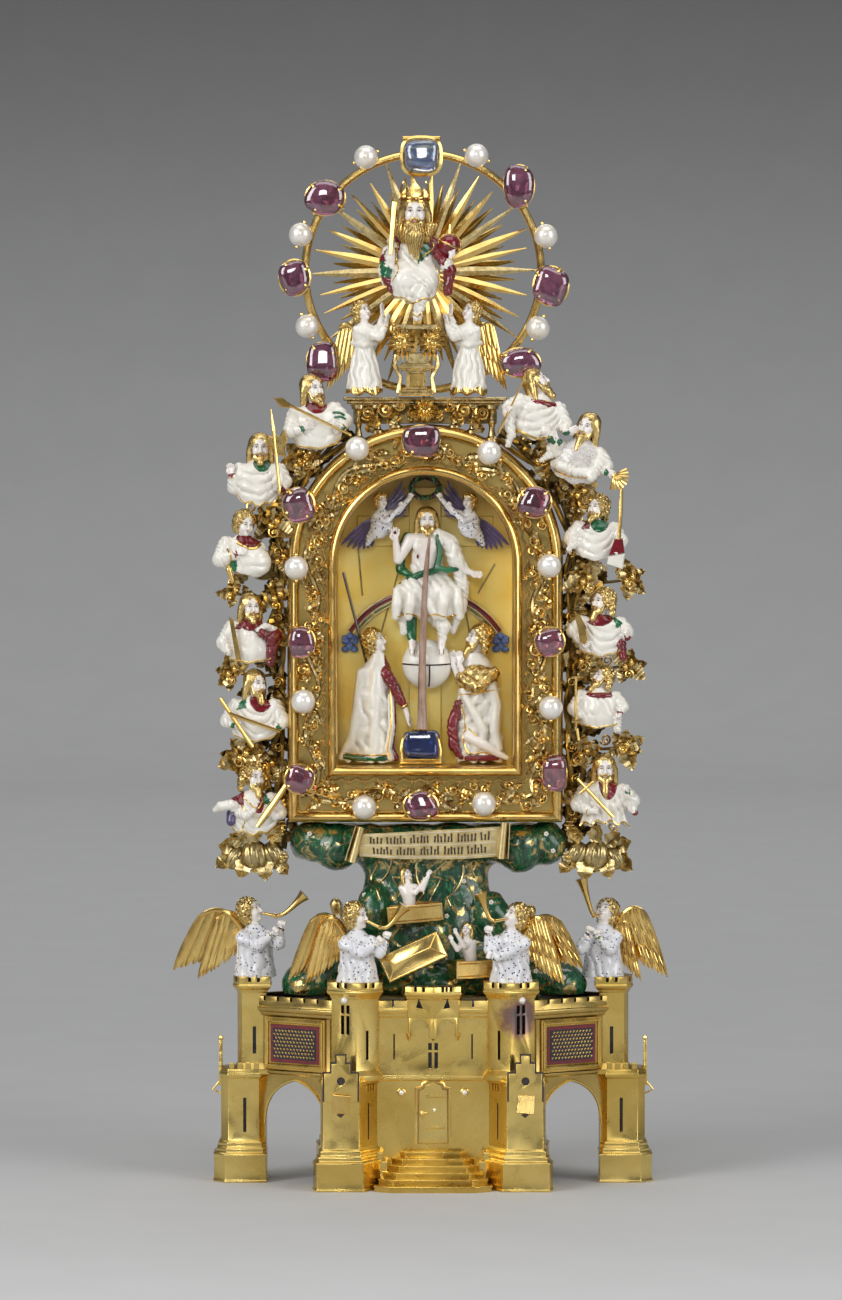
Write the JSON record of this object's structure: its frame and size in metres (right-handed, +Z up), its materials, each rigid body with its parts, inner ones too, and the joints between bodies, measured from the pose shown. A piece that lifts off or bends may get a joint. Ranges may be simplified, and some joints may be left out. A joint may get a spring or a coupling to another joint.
{
  "type": "reliquary",
  "caption": "Gold table reliquary: castle foot, green enamel hill, arched case with a crystal window over a thorn, enamelled figures on vines and a jewelled sunburst.",
  "frame": {"origin": "centre of the footprint's bounding box, on the surface it stands on", "axes": "+Z up, the front with the window and the gate faces -Y, +X to the viewer's right"},
  "size_m": [0.1438, 0.0648, 0.3047],
  "materials": {
    "gold": "polished gold with fine scratches and soft wear",
    "chased_gold": "chased gold, darker in the hollows",
    "white_enamel": "opaque white enamel in the round, with gold, red and green trims",
    "dotted_enamel": "opaque white enamel with small dark blue sprigs",
    "green_enamel": "translucent green enamel over scored gold",
    "plaque_enamel": "dark blue enamel with gold sprigs and a red border",
    "rainbow_enamel": "red and green enamel bands with gold edges",
    "ruby": "polished red stone",
    "sapphire": "polished blue stone",
    "rock_crystal": "clear rock crystal",
    "thorn": "dry grey-brown thorn"
  },
  "bodies": {
    "root": {"castle": "gold", "plaque_left": "plaque_enamel", "plaque_right": "plaque_enamel", "apostle_left_1": "white_enamel", "apostle_left_2": "white_enamel", "apostle_left_3": "white_enamel", "apostle_left_4": "white_enamel", "apostle_left_5": "white_enamel", "apostle_left_6": "white_enamel", "apostle_right_1": "white_enamel", "apostle_right_2": "white_enamel", "apostle_right_3": "white_enamel", "apostle_right_4": "white_enamel", "apostle_right_5": "white_enamel", "apostle_right_6": "white_enamel", "angel_left_outer": "dotted_enamel", "angel_left_inner": "dotted_enamel", "angel_right_inner": "dotted_enamel", "angel_right_outer": "dotted_enamel", "tomb_upper": "gold", "tomb_lower": "gold", "tomb_left": "gold", "tomb_right": "gold", "tomb_lid": "gold", "mound": "green_enamel", "scroll": "gold", "shrine_case": "gold", "crystal_bezel": "gold", "crystal_window": "rock_crystal", "rainbow": "rainbow_enamel", "christ_enthroned": "white_enamel", "virgin_kneeling": "white_enamel", "baptist_kneeling": "white_enamel", "crown_angels": "white_enamel", "thorn_sapphire": "sapphire", "thorn": "thorn", "vine_left": "chased_gold", "vine_right": "chased_gold", "gallery": "chased_gold", "throne": "chased_gold", "god_the_father": "white_enamel", "bearer_left": "white_enamel", "bearer_right": "white_enamel", "sunburst": "gold", "top_sapphire": "sapphire", "ruby_case_1": "ruby", "ruby_case_2": "ruby", "ruby_case_3": "ruby", "ruby_case_4": "ruby", "ruby_case_5": "ruby", "ruby_case_6": "ruby", "ruby_case_7": "ruby", "ruby_case_8": "ruby", "ruby_ring_1": "ruby", "ruby_ring_2": "ruby", "ruby_ring_3": "ruby", "ruby_ring_4": "ruby", "ruby_ring_5": "ruby", "ruby_ring_6": "ruby"}
  },
  "joints": []
}
